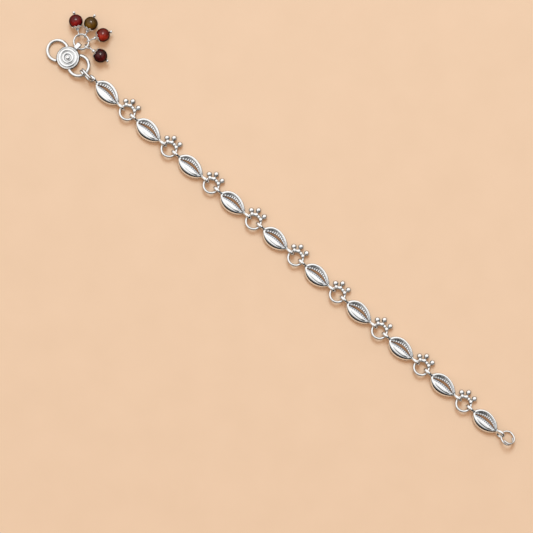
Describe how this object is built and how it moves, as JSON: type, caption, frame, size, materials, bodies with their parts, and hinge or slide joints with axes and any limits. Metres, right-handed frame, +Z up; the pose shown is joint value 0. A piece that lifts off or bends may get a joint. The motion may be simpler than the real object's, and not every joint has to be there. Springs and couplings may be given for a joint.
{
  "type": "payal anklet",
  "caption": "Silver anklet chain of ribbed cowrie-shell links and granulated flower rings, laid open, with an S-hook, a round stepped disc and stone bead charms.",
  "frame": {"origin": "middle of the bottom of the whole anklet's box, on the surface it lies on", "axes": "+X along the chain from the S-hook to the end ring, +Y towards the bead charms, +Z up off the surface"},
  "size_m": [0.2688, 0.028, 0.006],
  "materials": {
    "silver": "polished silver, bright",
    "bead_dark_red": "polished",
    "bead_olive_brown": "polished",
    "bead_brick_red": "polished",
    "bead_maroon": "polished"
  },
  "bodies": {
    "root": {"bead_1": "bead_dark_red", "bead_2": "bead_olive_brown", "bead_3": "bead_brick_red", "bead_4": "bead_maroon", "bead_cap_1": "silver", "bead_cap_2": "silver", "bead_cap_3": "silver", "bead_cap_4": "silver", "charm_ring": "silver", "cowrie_link_01": "silver", "cowrie_link_02": "silver", "cowrie_link_03": "silver", "cowrie_link_04": "silver", "cowrie_link_05": "silver", "cowrie_link_06": "silver", "cowrie_link_07": "silver", "cowrie_link_08": "silver", "cowrie_link_09": "silver", "cowrie_link_10": "silver", "end_ring": "silver", "flower_ring_01": "silver", "flower_ring_02": "silver", "flower_ring_03": "silver", "flower_ring_04": "silver", "flower_ring_05": "silver", "flower_ring_06": "silver", "flower_ring_07": "silver", "flower_ring_08": "silver", "flower_ring_09": "silver", "head_pin_1": "silver", "head_pin_2": "silver", "head_pin_3": "silver", "head_pin_4": "silver", "hook_ring": "silver", "s_hook": "silver"}
  },
  "joints": []
}
